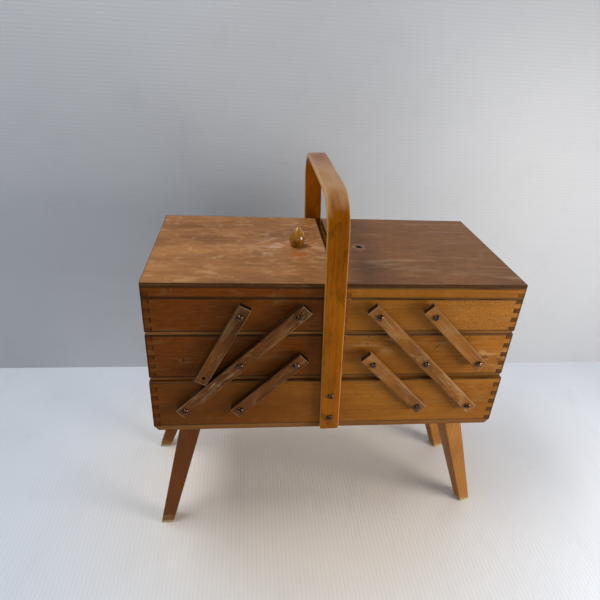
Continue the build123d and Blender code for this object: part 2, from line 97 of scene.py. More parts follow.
# ---- node graphs --------------------------------------------------------------------------
class Graph:
    """Short ways to add shader nodes to one material."""

    def __init__(self, name):
        self.material = bpy.data.materials.new(name)
        self.material.use_nodes = True
        self.tree = self.material.node_tree
        self.tree.nodes.clear()
        self.shader = self.tree.nodes.new("ShaderNodeBsdfPrincipled")
        self.output = self.tree.nodes.new("ShaderNodeOutputMaterial")
        self.tree.links.new(self.shader.outputs[0], self.output.inputs[0])
        coordinates = self.tree.nodes.new("ShaderNodeTexCoord")
        self.position = coordinates.outputs["Object"]
        self.normal = coordinates.outputs["Normal"]

    def feed(self, socket, value):
        """Links an output to the socket, or sets the socket to a plain value."""
        if isinstance(value, bpy.types.NodeSocket):
            self.tree.links.new(value, socket)
        elif socket.type == "RGBA" and hasattr(value, "__len__"):
            socket.default_value = (value[0], value[1], value[2], 1.0)
        elif socket.type == "RGBA":
            socket.default_value = (value, value, value, 1.0)
        else:
            socket.default_value = value

    def math(self, operation, first, second=0.0, third=0.0, clamp=False):
        node = self.tree.nodes.new("ShaderNodeMath")
        node.operation = operation
        node.use_clamp = clamp
        for socket, value in zip(node.inputs, (first, second, third)):
            self.feed(socket, value)
        return node.outputs[0]

    def times(self, *factors):
        result = factors[0]
        for factor in factors[1:]:
            result = self.math("MULTIPLY", result, factor)
        return result

    def plus(self, *terms):
        result = terms[0]
        for term in terms[1:]:
            result = self.math("ADD", result, term)
        return result

    def vector(self, operation, first, second=(0, 0, 0)):
        node = self.tree.nodes.new("ShaderNodeVectorMath")
        node.operation = operation
        self.feed(node.inputs[0], first)
        self.feed(node.inputs[1], second)
        scalar = operation in ("DOT_PRODUCT", "LENGTH", "DISTANCE")
        return node.outputs["Value" if scalar else "Vector"]

    def axes(self, vector):
        node = self.tree.nodes.new("ShaderNodeSeparateXYZ")
        self.feed(node.inputs[0], vector)
        return node.outputs[0], node.outputs[1], node.outputs[2]

    def turned(self, vector, rotation):
        """The vector turned by an Euler rotation."""
        node = self.tree.nodes.new("ShaderNodeMapping")
        self.feed(node.inputs["Vector"], vector)
        node.inputs["Rotation"].default_value = rotation
        return node.outputs[0]

    def noise(self, vector, stretch, detail=2.0, roughness=0.5, distortion=0.0):
        """Noise from 0 to 1, whose features are about 1 / stretch metres along each axis."""
        node = self.tree.nodes.new("ShaderNodeTexNoise")
        self.feed(node.inputs["Vector"], self.vector("MULTIPLY", vector, stretch))
        node.inputs["Scale"].default_value = 1.0
        node.inputs["Detail"].default_value = detail
        node.inputs["Roughness"].default_value = roughness
        node.inputs["Distortion"].default_value = distortion
        return node.outputs[0]

    def step(self, value, low, high, start=0.0, end=1.0):
        """Goes smoothly from start to end as the value goes from low to high."""
        node = self.tree.nodes.new("ShaderNodeMapRange")
        node.interpolation_type = "SMOOTHSTEP"
        for socket, number in zip(node.inputs[:5], (value, low, high, start, end)):
            self.feed(socket, number)
        return node.outputs[0]

    def mix(self, share, first, second, blend="MIX"):
        node = self.tree.nodes.new("ShaderNodeMix")
        node.data_type = "RGBA"
        node.blend_type = blend
        sockets = [s for s in node.inputs if s.enabled]
        self.feed(sockets[0], share)
        self.feed(sockets[1], first)
        self.feed(sockets[2], second)
        return [s for s in node.outputs if s.enabled][0]

    def bump(self, height, distance, strength):
        node = self.tree.nodes.new("ShaderNodeBump")
        node.inputs["Distance"].default_value = distance
        node.inputs["Strength"].default_value = strength
        self.feed(node.inputs["Height"], height)
        self.tree.links.new(node.outputs[0], self.shader.inputs["Normal"])

    def set(self, **values):
        """Sets the shader's sockets, named with underscores in place of spaces."""
        for name, value in values.items():
            self.feed(self.shader.inputs[name.replace("_", " ")], value)

    def clear_from_behind(self):
        """Lets the surface be seen through from its back, so that it hides nothing there."""
        geometry = self.tree.nodes.new("ShaderNodeNewGeometry")
        clear = self.tree.nodes.new("ShaderNodeBsdfTransparent")
        either = self.tree.nodes.new("ShaderNodeMixShader")
        self.feed(either.inputs[0], geometry.outputs["Backfacing"])
        self.feed(either.inputs[1], self.shader.outputs[0])
        self.feed(either.inputs[2], clear.outputs[0])
        self.feed(self.output.inputs[0], either.outputs[0])


def srgb(red, green, blue):
    """A colour given as 0 to 255, as the linear values that shaders use."""
    shares = (red / 255, green / 255, blue / 255)
    return tuple(c / 12.92 if c <= 0.04045 else ((c + 0.055) / 1.055) ** 2.4 for c in shares)


# ---- wood ---------------------------------------------------------------------------------
PALE_WOOD = srgb(222, 180, 124)
# Pale rubbed edge of the arms, partly a painted highlight of their lit edges.
WORN_ARM_AND_GLINT = srgb(184, 148, 106)
# Near-black: real dirt and scratches, and also painted shade on narrow faces and in the gaps
# along the edges.
DIRT_AND_SHADE = (0.010, 0.004, 0.001)
VARNISH_GLINT = (1.0, 0.72, 0.42)
# How a kind of wood looks, unless its call to wood says otherwise.
WOOD_DEFAULTS = {
    "rings": 0.12,  # strength of the growth rings
    "ring_width": 5.0 * MM,
    "fibre": 0.55,  # strength of the fine streaks
    "mottle": 0.68,  # strength of the broad patches
    "pores": 0.3,  # strength of the dark pores
    "scuffs": 0.0,  # strength of the pale rubbed patches
    "scuff_scale": (9, 13, 13),
    "end_tone": 0.42,  # brightness that the end grain keeps
    "worn": 0.35,  # strength of the rubbed pale edges, on the arms partly a painted highlight
    "worn_width": 1.2 * MM,
    "worn_colour": PALE_WOOD,
    "grime": 0.0,  # strength of the dark dirt and painted gap shade along the edges
    "grime_width": 2.3 * MM,
    "face": Z_AXIS,  # the way that the board's broad faces look
    "side_tone": 1.0,  # brightness that its narrow faces keep under painted shade
    "roughness": 0.42,
    "specular": 0.1,
    "coat": 0.02,
    "bent": False,  # a strip bent across its width, whose fibres follow the bend
}
# Noise scales for fibres and for waves, and the axes that the growth rings lie across.
STRAIGHT_GRAIN = (12, 900, 900), (4, 26, 26), (0, 1, 1)
BENT_GRAIN = (900, 12, 12), (30, 5, 5), (1, 0, 0)


def edge_distance(graph, local, low, high):
    """Distance of a surface point to the nearest edge of a box, in metres."""
    offset = graph.vector("ABSOLUTE", graph.vector("SUBTRACT", local, (low + high) / 2))
    x, y, z = graph.axes(graph.vector("SUBTRACT", (high - low) / 2, offset))
    larger = graph.math("MAXIMUM", x, y)
    smaller = graph.math("MINIMUM", x, y)
    return graph.math("MAXIMUM", smaller, graph.math("MINIMUM", larger, z))


def grain_tone(graph, local, placed, look, scales):
    """Growth rings, fibres and broad mottling as one value round 0.5, and the fibres."""
    fibre_scale, wave_scale, across = scales
    pith = Vector((0.01, random.uniform(0.03, 0.06), random.uniform(0.05, 0.09)))
    wave = graph.noise(placed, wave_scale, 2.0)
    radius = graph.vector("LENGTH", graph.vector(
        "MULTIPLY", graph.vector("ADD", local, pith), across))
    radius = graph.math("MULTIPLY_ADD", wave, 0.022, radius)
    ring = graph.math("SINE", graph.times(radius, 2 * math.pi / look["ring_width"]))
    fade = graph.step(graph.noise(placed, wave_scale, 1.0), 0.3, 0.7)
    ring = graph.times(ring, fade, look["rings"] * 0.5)
    fibre = graph.noise(placed, fibre_scale, 4.0, 0.65)
    mottle = graph.noise(placed, tuple(s * 0.7 + 5 for s in wave_scale), 3.0, 0.6, 0.4)
    streaks = graph.times(graph.math("SUBTRACT", fibre, 0.5), look["fibre"] * 2.2)
    patches = graph.times(graph.math("SUBTRACT", mottle, 0.5), look["mottle"] * 2.2)
    return graph.math("ADD", graph.plus(ring, streaks, patches), 0.5, clamp=True), fibre


def scuffed(graph, placed, look, colour):
    """Pale rubbed patches and hairline scratches. Gives their strength and the new colour."""
    if not look["scuffs"]:
        return 0.0, colour
    patch = graph.noise(placed, look["scuff_scale"], 4.0, 0.62, 0.8)
    patch = graph.step(patch, 0.48, 0.72)
    hairs = graph.step(graph.noise(placed, (40, 420, 420), 2.0, 0.6, 1.5), 0.58, 0.72)
    both = graph.math("MULTIPLY_ADD", patch, 0.5, graph.times(hairs, 0.45))
    scuff = graph.math("MULTIPLY", both, look["scuffs"], clamp=True)
    return scuff, graph.mix(scuff, colour, look["worn_colour"])


def end_grained(graph, placed, grain, look, colour):
    """End grain drinks more stain, so it is darker. Gives where it is and the new colour."""
    if look["bent"]:
        return 0.0, colour
    facing = graph.math("ABSOLUTE", graph.vector("DOT_PRODUCT", graph.normal, grain))
    end = graph.step(facing, 0.7, 0.9)
    speckle = graph.step(graph.noise(placed, (900, 900, 900), 3.0), 0.3, 0.7, 0.7, 1.1)
    shade = look["end_tone"]
    stained = graph.mix(1.0, colour, (shade, shade * 0.88, shade * 0.76), "MULTIPLY")
    stained = graph.mix(1.0, stained, speckle, "MULTIPLY")
    return end, graph.mix(end, colour, stained)


def edges_worn_and_shaded(graph, away, placed, look, colour, gloss):
    """Darkens the edges with dirt and with painted shade in the gaps between parts, and here and
    there rubs them down to bare wood, which on the arms also stands for a painted highlight.
    """
    ragged = graph.noise(placed, (70, 170, 170), 4.0, 0.7)
    # dirt mixed with painted shade in the gaps along the edges
    dirt_and_shade = graph.step(away, 0.2 * look["grime_width"], look["grime_width"], 1.0, 0.0)
    dirt_and_shade = graph.times(dirt_and_shade, graph.step(ragged, 0.2, 0.6, 0.75, 1.0), look["grime"])
    colour = graph.mix(dirt_and_shade, colour, DIRT_AND_SHADE)
    gloss = graph.math("MULTIPLY_ADD", dirt_and_shade, -0.9 * gloss, gloss)
    reach = graph.times(ragged, 2 * look["worn_width"])
    # pale rubbed edges; on the arms they also stand for a painted highlight
    rubbed = graph.step(graph.math("DIVIDE", away, reach), 0.35, 1.0, 1.0, 0.0)
    patchy = graph.step(graph.noise(placed, (14, 40, 40), 2.0), 0.25, 0.5)
    rubbed = graph.times(rubbed, patchy, look["worn"])
    return graph.mix(rubbed, colour, look["worn_colour"]), gloss


def shaded_sides(graph, look, colour, gloss):
    """Painted shade on the narrow faces: they are darkened and made duller than the broad ones.
    """
    facing = graph.math("ABSOLUTE", graph.vector("DOT_PRODUCT", graph.normal, look["face"]))
    share = graph.step(facing, 0.3, 0.9, 1.0 - look["side_tone"], 0.0)
    gloss = graph.times(gloss, graph.math("SUBTRACT", 1.0, share))
    return graph.mix(share, colour, DIRT_AND_SHADE), gloss


def wood(name, node, grain, tones, seed, extra=None, **changes):
    """Varnished wood whose fibres run along grain, between a light and a dark tone. extra may
    add marks of one piece's own: it takes and returns a colour."""
    look = {**WOOD_DEFAULTS, **changes}
    light, dark = tones
    graph = Graph(name)
    random.seed(seed)
    offset = Vector([random.uniform(-3, 3) for _ in range(3)])
    rotation = grain.rotation_difference(X_AXIS).to_euler()
    local = graph.turned(graph.position, rotation)
    placed = graph.vector("ADD", local, offset)
    scales = BENT_GRAIN if look["bent"] else STRAIGHT_GRAIN
    tone, fibre = grain_tone(graph, local, placed, look, scales)
    colour = graph.mix(tone, light, dark)

    pore_scale = tuple(s * 0.9 if s > 100 else s * 9 for s in scales[0])
    pores = graph.step(graph.noise(placed, pore_scale, 1.0), 0.6, 0.72)
    colour = graph.mix(graph.times(pores, look["pores"]), colour, dark, "MULTIPLY")
    scuff, colour = scuffed(graph, placed, look, colour)
    if extra:
        colour = extra(graph, placed, colour)
    end, colour = end_grained(graph, placed, grain, look, colour)

    gloss = look["specular"]
    if look["worn"] or look["grime"]:
        turn = rotation.to_matrix()
        low, high = span([turn @ point for point in corners(node)])
        away = edge_distance(graph, local, low, high)
        colour, gloss = edges_worn_and_shaded(graph, away, placed, look, colour, gloss)
    # painted shade on the narrow faces
    if look["side_tone"] < 1:
        colour, gloss = shaded_sides(graph, look, colour, gloss)

    shine = graph.math("MULTIPLY_ADD", fibre, 0.12, look["roughness"] - 0.06)
    shine = graph.plus(shine, graph.times(end, 0.2), graph.times(scuff, 0.25))
    graph.set(Base_Color=colour, Roughness=shine, Specular_IOR_Level=gloss,
              Specular_Tint=VARNISH_GLINT, Coat_Weight=look["coat"], Coat_Roughness=0.2)
    graph.bump(graph.math("MULTIPLY_ADD", pores, -0.6, fibre), 0.12 * MM, 0.55)
    return graph.material


# Light and dark tone of each kind of wood. The left walls', arms' and legs' tones are darker
# partly as the wood's own tone and partly as painted shade on the side away from the window.
RIGHT_HONEY = (srgb(160, 100, 30), srgb(120, 69, 14))
LEFT_HONEY_AND_SHADE = (srgb(118, 61, 13), srgb(82, 37, 5))
RIGHT_ARM = (srgb(148, 94, 40), srgb(86, 48, 18))
LEFT_ARM_AND_SHADE = (srgb(108, 62, 26), srgb(64, 33, 12))
AMBER = (srgb(170, 97, 4), srgb(112, 58, 0))
# Pale edge of the handle strip: wear and a painted highlight.
AMBER_EDGE_GLINT = srgb(222, 170, 96)
LEFT_LID = (srgb(164, 107, 54), srgb(116, 68, 28))
RIGHT_LID = (srgb(138, 84, 38), srgb(100, 58, 22))
RIGHT_LEG = (srgb(164, 108, 40), srgb(120, 70, 20))
LEFT_LEG_AND_SHADE = (srgb(118, 64, 20), srgb(84, 41, 10))
FOOT_PAD = srgb(168, 154, 112)
KNOB_AMBER = (srgb(172, 110, 8), srgb(58, 24, 0))
PLY = (srgb(150, 100, 52), srgb(96, 58, 26))


def arm_direction(node):
    """The way an arm runs, in the plane of the box's front."""
    points = corners(node)
    low, high = span(points)
    near_end = 10 * MM
    top = [p for p in points if p.z > high.z - near_end]
    bottom = [p for p in points if p.z < low.z + near_end]
    run = sum(top, Vector()) / len(top) - sum(bottom, Vector()) / len(bottom)
    return Vector((run.x, 0, run.z)).normalized()


def handle_marks(graph, placed, colour):
    """The strip is worn pale over the top and along its edges, where a painted highlight also
    lies, blotched further down, and darkened at the back with painted shade. Its noise adds up
    to 50 mm to the heights."""
    height = graph.axes(graph.position)[2]
    ragged = graph.math("MULTIPLY_ADD", graph.noise(placed, (90, 25, 25), 3.0), 50 * MM, height)
    bare = graph.step(ragged, 472 * MM, 496 * MM, 0.0, 0.75)
    colour = graph.mix(bare, colour, srgb(178, 138, 94))
    blotch = graph.step(graph.noise(placed, (60, 40, 40), 4.0, 0.65), 0.5, 0.68)
    below = graph.step(ragged, 455 * MM, 485 * MM, 0.6, 0.12)
    colour = graph.mix(graph.times(blotch, below), colour, srgb(84, 42, 2))
    # painted shade on the back strip
    behind = graph.step(graph.axes(graph.position)[1], -20 * MM, 40 * MM, 0.0, 1.0)
    colour = graph.mix(behind, colour, graph.mix(1.0, colour, (0.76, 0.66, 0.9), "MULTIPLY"))
    # pale edge lines: wear and a painted highlight along the strip's edges
    across = Vector((math.cos(HANDLE_LEAN), 0, math.sin(HANDLE_LEAN)))
    middle = across.dot(Vector((0, 0, HANDLE_PIVOT_Z)))
    offset = graph.math("SUBTRACT", graph.vector("DOT_PRODUCT", graph.position, across), middle)
    uneven = graph.math("MULTIPLY_ADD", graph.noise(placed, (60, 60, 60), 3.0), 1.6 * MM,
                        graph.math("ABSOLUTE", offset))
    edge = graph.step(uneven, 10.4 * MM, 11.6 * MM, 0.0, 0.42)
    return graph.mix(edge, colour, AMBER_EDGE_GLINT)


def leg_marks(graph, placed, colour):
    """Legs are rubbed pale towards the foot, dented here and there, and end in a pale pad."""
    height = graph.axes(graph.position)[2]
    ragged = graph.math("MULTIPLY_ADD", graph.noise(placed, (160, 60, 60), 3.0), 40 * MM, height)
    bare = graph.step(ragged, 22 * MM, 45 * MM, 0.14, 0.0)
    colour = graph.mix(bare, colour, PALE_WOOD)
    dents = graph.step(graph.noise(placed, (110, 260, 260), 3.0, 0.6), 0.62, 0.7)
    colour = graph.mix(graph.times(dents, 0.4), colour, srgb(62, 32, 12))
    return graph.mix(graph.step(height, 3.6 * MM, 4.4 * MM, 1.0, 0.0), colour, FOOT_PAD)


def base_shade_to_left(graph, placed, colour):
    """Painted shade: the fixed tray darkens towards its left end, away from the window."""
    along = graph.axes(graph.position)[0]
    ragged = graph.math("MULTIPLY_ADD", graph.noise(placed, (8, 30, 30), 3.0), 80 * MM, along)
    # painted shade that deepens towards the left
    share = graph.step(ragged, -100 * MM, 130 * MM, 1.0, 0.0)
    return graph.mix(share, colour, graph.mix(1.0, colour, (0.48, 0.38, 0.30), "MULTIPLY"))


def scratch_marks(graph, placed, colour):
    """Hairline dark scratches and small dents across a well-used front."""
    lines = graph.noise(placed, (55, 24, 24), 1.0, 0.5, 0.6)
    off_line = graph.math("ABSOLUTE", graph.math("SUBTRACT", lines, 0.5))
    thin = graph.step(off_line, 0.0, 0.012, 1.0, 0.0)
    area = graph.step(graph.noise(placed, (16, 40, 40), 2.0), 0.46, 0.6)
    colour = graph.mix(graph.times(thin, area, 0.75), colour, DIRT_AND_SHADE)
    dents = graph.step(graph.noise(placed, (260, 700, 700), 2.0), 0.64, 0.72)
    broad = graph.step(graph.noise(placed, (14, 22, 22), 2.0), 0.48, 0.62)
    colour = graph.mix(graph.times(dents, broad, 0.5), colour, DIRT_AND_SHADE)
    rubbed = graph.step(graph.noise(placed, (20, 90, 90), 4.0, 0.65), 0.5, 0.7)
    return graph.mix(graph.times(rubbed, broad, 0.4), colour, PALE_WOOD)


def fleck_marks(graph, placed, colour):
    """Dense pale flecks where the right end of the top front has been rubbed."""
    along = graph.axes(graph.position)[0]
    ragged = graph.math("MULTIPLY_ADD", graph.noise(placed, (30, 60, 60), 3.0), 50 * MM, along)
    area = graph.step(ragged, 60 * MM, 160 * MM, 0.1, 1.0)
    flecks = graph.step(graph.noise(placed, (560, 800, 800), 2.0, 0.6), 0.42, 0.66)
    return graph.mix(graph.times(flecks, area, 0.15), colour, srgb(206, 162, 102))


def ring_mark(graph, centre, inner, outer):
    """1 on a ring round a vertical axis, 0 away from it."""
    flat = graph.vector("MULTIPLY", graph.vector("SUBTRACT", graph.position, centre), (1, 1, 0))
    reach = graph.vector("LENGTH", flat)
    rise = graph.step(reach, inner, (inner + outer) / 2)
    fall = graph.step(reach, (inner + outer) / 2, outer, 1.0, 0.0)
    return graph.times(rise, fall)


def left_lid_marks(graph, placed, colour):
    """Pale scuffs round the knob and an orange patch where the varnish is thicker."""
    spot = KNOB_CENTRE + Vector((6 * MM, -24 * MM, 0))
    flat = graph.vector("MULTIPLY", graph.vector("SUBTRACT", graph.position, spot), (0.8, 1, 0))
    ragged = graph.noise(placed, (80, 80, 80), 4.0, 0.6)
    reach = graph.math("MULTIPLY_ADD", ragged, 24 * MM, graph.vector("LENGTH", flat))
    amber = graph.step(reach, 17 * MM, 25 * MM, 0.7, 0.0)
    colour = graph.mix(amber, colour, srgb(164, 88, 38))
    streaks = graph.noise(placed, (34, 60, 60), 5.0, 0.7, 1.4)
    flat = graph.vector(
        "MULTIPLY", graph.vector("SUBTRACT", graph.position, KNOB_CENTRE), (1, 1, 0))
    near = graph.step(graph.vector("LENGTH", flat), 12 * MM, 75 * MM, 1.0, 0.0)
    scuff = graph.times(graph.step(streaks, 0.5, 0.68), near, 0.6)
    return graph.mix(scuff, colour, srgb(206, 170, 146))


def right_lid_marks(graph, placed, colour):
    """The empty knob hole's dirty rim with a pale ring round it, and faint pale streaks."""
    ring = ring_mark(graph, HOLE_CENTRE, 3.4 * MM, 9.6 * MM)
    broken = graph.step(graph.noise(placed, (250, 250, 250), 3.0), 0.35, 0.6)
    colour = graph.mix(graph.times(ring, broken, 0.6), colour, srgb(206, 168, 128))
    colour = graph.mix(ring_mark(graph, HOLE_CENTRE, 1.2 * MM, 5.0 * MM), colour, DIRT_AND_SHADE)
    streak = graph.step(graph.noise(placed, (7, 60, 60), 4.0, 0.65, 0.6), 0.56, 0.7)
    return graph.mix(graph.times(streak, 0.3), colour, srgb(196, 158, 124))


def knob_wood(name, seed):
    """Glossy amber for the turned knob."""
    return wood(name, "knob", Z_AXIS, KNOB_AMBER, seed, worn=0.0, coat=1.0, roughness=0.12,
                specular=0.3, mottle=2.4, end_tone=0.8)


def handle_wood(node, seed):
    """Amber varnish on the bent strip."""
    across = Vector((math.cos(HANDLE_LEAN), 0, math.sin(HANDLE_LEAN)))
    return wood(node, node, across, AMBER, seed, handle_marks, bent=True, worn=0.0,
                coat=0.03, roughness=0.3)


def leg_wood(node, seed):
    """Honey brown on the right legs and a dark red brown on the left ones, which is partly
    painted shade.
    """
    tones = LEFT_LEG_AND_SHADE if "left" in node else RIGHT_LEG
    return wood(node, node, Z_AXIS, tones, seed, leg_marks, worn=0.0, coat=0.1)


def arm_wood(node, seed):
    """Dull, patchy wood with dark ends, the long arms being rubbed the most. The pale rubbed
    edges partly stand for a painted highlight, the left arms' narrow faces carry painted shade,
    and their darker tone is partly painted shade.
    """
    left = "left" in node
    return wood(node, node, arm_direction(node), LEFT_ARM_AND_SHADE if left else RIGHT_ARM, seed,
                worn=0.45, worn_colour=WORN_ARM_AND_GLINT, grime=0.3, face=Y_AXIS,
                side_tone=0.3 if left else 1.0, mottle=1.4, end_tone=0.16,
                scuffs=0.85 if "long" in node else 0.45, scuff_scale=(24, 40, 40))


def lid_wood(node, seed):
    """Plywood with broad figure, scuffed on the left lid and darker on the right one, with
    painted shade on the panels' narrow faces and dirt and painted gap shade along their edges.
    """
    left = node.startswith("left")
    return wood(node, node, X_AXIS, LEFT_LID if left else RIGHT_LID, seed,
                left_lid_marks if left else right_lid_marks, scuffs=0.5 if left else 0.22,
                scuff_scale=(56, 100, 100), worn=0.1, grime=0.8, grime_width=1.2 * MM,
                side_tone=0.3, end_tone=0.6, ring_width=9 * MM, fibre=0.6,
                mottle=1.1 if left else 0.7, roughness=0.45, specular=0.36)


WALL_MARKS = {
    "bottom_front_wall": base_shade_to_left,
    "bottom_back_wall": base_shade_to_left,
    "middle_right_front_wall": scratch_marks,
    "top_right_front_wall": fleck_marks,
}


def wall_wood(node, seed):
    """Honey on the right and brown on the left, the brown partly painted shade, with dark dirt
    and painted gap shade along the boards' edges. The inner ends' joints hardly show."""
    left = "left" in node
    # grime here is dirt and painted gap shade along the boards' edges
    grime, end_tone = 0.95, 0.42
    if "inner_end" in node:
        grime, end_tone = 0.0, 0.95
    elif "end_rails" in node:
        end_tone = 0.75
    elif left:
        end_tone = 0.85
    return wood(node, node, Y_AXIS if "_end" in node else X_AXIS,
                LEFT_HONEY_AND_SHADE if left else RIGHT_HONEY, seed, WALL_MARKS.get(node),
                grime=grime, end_tone=end_tone, scuffs=0.12, scuff_scale=(30, 60, 60),
                worn=0.05 if left else 0.15)


def wood_for(node, seed):
    """Each wooden node's own material, picked from its name."""
    if node == "knob":
        return knob_wood(node, seed)
    if node == "handle":
        return handle_wood(node, seed)
    if node.startswith("leg_"):
        return leg_wood(node, seed)
    if "arm" in node:
        return arm_wood(node, seed)
    if node.endswith("lid_panel"):
        return lid_wood(node, seed)
    if node.endswith("_panel"):
        return wood(node, node, X_AXIS, PLY, seed, worn=0.0, roughness=0.5, coat=0.0)
    return wall_wood(node, seed)


# ---- metal --------------------------------------------------------------------------------
STEEL = (srgb(108, 84, 66), srgb(34, 23, 16))
BRASS = (srgb(190, 150, 84), srgb(104, 72, 34))


def metal(name, tones, roughness):
    """Metal with faint brushing and blotches of tarnish."""
    graph = Graph(name)
    bright, tarnished = tones
    blotch = graph.step(graph.noise(graph.position, (260, 260, 260), 3.0, 0.6), 0.4, 0.66)
    rough = graph.math("MULTIPLY_ADD", blotch, 0.18, roughness)
    graph.set(Base_Color=graph.mix(blotch, bright, tarnished), Roughness=rough, Metallic=1.0)
    graph.bump(graph.noise(graph.position, (900, 900, 9000), 2.0), 0.03 * MM, 0.4)
    return graph.material


# ---- turned pieces --------------------------------------------------------------------------
def lathe(profile, segments):
    """A mesh turned round Z from (radius, height) points. A radius of 0 closes an end."""
    vertices, loops, faces = [], [], []
    for radius, height in profile:
        if radius == 0:
            loops.append([len(vertices)] * segments)
            vertices.append((0, 0, height))
            continue
        loops.append(list(range(len(vertices), len(vertices) + segments)))
        for step in range(segments):
            angle = 2 * math.pi * step / segments
            vertices.append((radius * math.cos(angle), radius * math.sin(angle), height))
    for lower, upper in zip(loops, loops[1:]):
        for step in range(segments):
            after = (step + 1) % segments
            ring = [lower[step], lower[after], upper[after], upper[step]]
            faces.append(list(dict.fromkeys(ring)))
    mesh = bpy.data.meshes.new("turned")
    mesh.from_pydata(vertices, [], faces)
    mesh.update()
    return mesh


def add(name, mesh):
    """A new object in the scene."""
    piece = bpy.data.objects.new(name, mesh)
    bpy.context.scene.collection.objects.link(piece)
    return piece


def smooth(mesh, angle):
    """Smooth shading, with edges sharper than the angle kept sharp."""
    mesh.shade_smooth()
    mesh.set_sharp_from_angle(angle=math.radians(angle))


def box_mesh(size):
    """A box centred on the origin, to cut with."""
    x, y, z = (length / 2 for length in size)
    vertices = [(a * x, b * y, c * z) for a in (-1, 1) for b in (-1, 1) for c in (-1, 1)]
    faces = [(0, 1, 3, 2), (4, 6, 7, 5), (0, 4, 5, 1), (2, 3, 7, 6), (0, 2, 6, 4), (1, 5, 7, 3)]
    mesh = bpy.data.meshes.new("box")
    mesh.from_pydata(vertices, [], faces)
    return mesh


SCREW_SEGMENTS = 40
SLOT_WIDTH = 0.9 * MM
SLOT_DEPTH = 1.1 * MM
HEAD_RADIUS = 3.5 * MM
HEAD_HEIGHT = 2.6 * MM
SHANK_RADIUS = 1.7 * MM
SHANK_POINT = 2 * MM
SHANK_IN_WALL = 6 * MM
WASHER_RADIUS = 4.4 * MM
WASHER_EDGE = 0.15 * MM
ARM_ROOM = 8.6 * MM  # between a washer and its screw's head


def dome_profile(radius, height):
    """A round head from its rim up to its crown, with a short straight rim."""
    rim = height * 0.18
    steps = 9
    points = [(radius, 0), (radius, rim)]
    for step in range(1, steps):
        turn = step / steps * math.pi / 2
        points.append((radius * math.cos(turn) ** 0.75, rim + (height - rim) * math.sin(turn)))
    return points + [(0, height)]


def slotted(profile, radius, height):
    """A turned head with a screwdriver slot cut across it."""
    head = add("screw_blank", lathe(profile, SCREW_SEGMENTS))
    cutter = add("slot_cutter", box_mesh((4 * radius, SLOT_WIDTH, 2 * SLOT_DEPTH)))
    cutter.location.z = height
    cut = head.modifiers.new("slot", "BOOLEAN")
    cut.operation = "DIFFERENCE"
    cut.solver = "EXACT"
    cut.object = cutter
    bpy.context.view_layer.update()
    evaluated = head.evaluated_get(bpy.context.evaluated_depsgraph_get())
    mesh = bpy.data.meshes.new_from_object(evaluated)
    bpy.data.objects.remove(head)
    bpy.data.objects.remove(cutter)
    smooth(mesh, 35)
    return mesh


def face_turn(face, spin):
    """Turns +Z to face the front (-1) or the back (1), after a spin round itself."""
    return Euler((-face * math.pi / 2, 0, 0)).to_matrix() @ Matrix.Rotation(spin, 3, "Z")


def pivot_screw_mesh(head_low, washer):
    """A whole screw standing on the wall: shank, washer and slotted head. Heights are from
    the shank's tip."""
    profile = [(0, 0), (SHANK_RADIUS * 0.3, 0), (SHANK_RADIUS, SHANK_POINT),
               (SHANK_RADIUS, SHANK_IN_WALL)]
    if washer:
        profile += [
            (WASHER_RADIUS - WASHER_EDGE, SHANK_IN_WALL),
            (WASHER_RADIUS, SHANK_IN_WALL + WASHER_EDGE),
            (WASHER_RADIUS, SHANK_IN_WALL + washer - WASHER_EDGE),
            (WASHER_RADIUS - WASHER_EDGE, SHANK_IN_WALL + washer),
            (SHANK_RADIUS, SHANK_IN_WALL + washer),
        ]
    profile.append((SHANK_RADIUS, head_low))
    profile += [(r, head_low + h) for r, h in dome_profile(HEAD_RADIUS, HEAD_HEIGHT)]
    return slotted(profile, HEAD_RADIUS, head_low + HEAD_HEIGHT)


def add_screws(material):
    """Replaces the plain screws that stand in the trays, the base and the handle."""
    meshes = {}
    total = 0
    for node in sorted(NODES):
        if not node.endswith("_screws") or node == "leg_screws":
            continue
        for low, high in screw_spots(node):
            face = 1 if low.y > 0 else -1
            reach = round(high.y - low.y, 5)
            head_low = reach - HEAD_HEIGHT
            washer = 0.0 if node == "handle_screws" else head_low - SHANK_IN_WALL - ARM_ROOM
            if (reach, washer) not in meshes:
                meshes[reach, washer] = pivot_screw_mesh(head_low, washer)
            piece = add(f"{node}_{total}", meshes[reach, washer].copy())
            tip = low.y if face > 0 else high.y
            spin = random.uniform(0, math.pi)
            place = Matrix.Translation(((low.x + high.x) / 2, tip, (low.z + high.z) / 2))
            piece.data.transform(place @ face_turn(face, spin).to_4x4())
            finish_piece(piece, material, body_of(node))
            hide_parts(node)
            total += 1


def body_of(node):
    """The name of the CAD body that a node belongs to."""
    for name, members in frame["record"]["behaviour"]["bodies"].items():
        if node in members:
            return name
    raise KeyError(node)


def finish_piece(piece, material, body):
    """Gives a new piece its material and the body it moves with."""
    piece.data.materials.clear()
    piece.data.materials.append(material)
    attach(piece, body)


KNOB_SEGMENTS = 64
KNOB_SEED = 77


def knob_profile():
    """A turned acorn: a narrow foot, a full belly low down and a blunt tip."""
    foot = 0.8 * KNOB_RADIUS
    tenon, tenon_depth = 2.3 * MM, 3.5 * MM
    points = [(0, -tenon_depth), (tenon, -tenon_depth), (tenon, 0), (foot, 0)]
    belly = 0.36  # the widest place, as a share of the height
    steps = 26
    for step in range(1, steps):
        share = step / steps
        if share < belly:
            turn = (1 - share / belly) * math.pi / 2
            radius = foot + (KNOB_RADIUS - foot) * math.cos(turn)
        else:
            turn = (share - belly) / (1 - belly) * math.pi / 2
            radius = KNOB_RADIUS * math.cos(turn) ** 0.85
        points.append((radius, share * KNOB_HEIGHT))
    return points + [(0, KNOB_HEIGHT)]


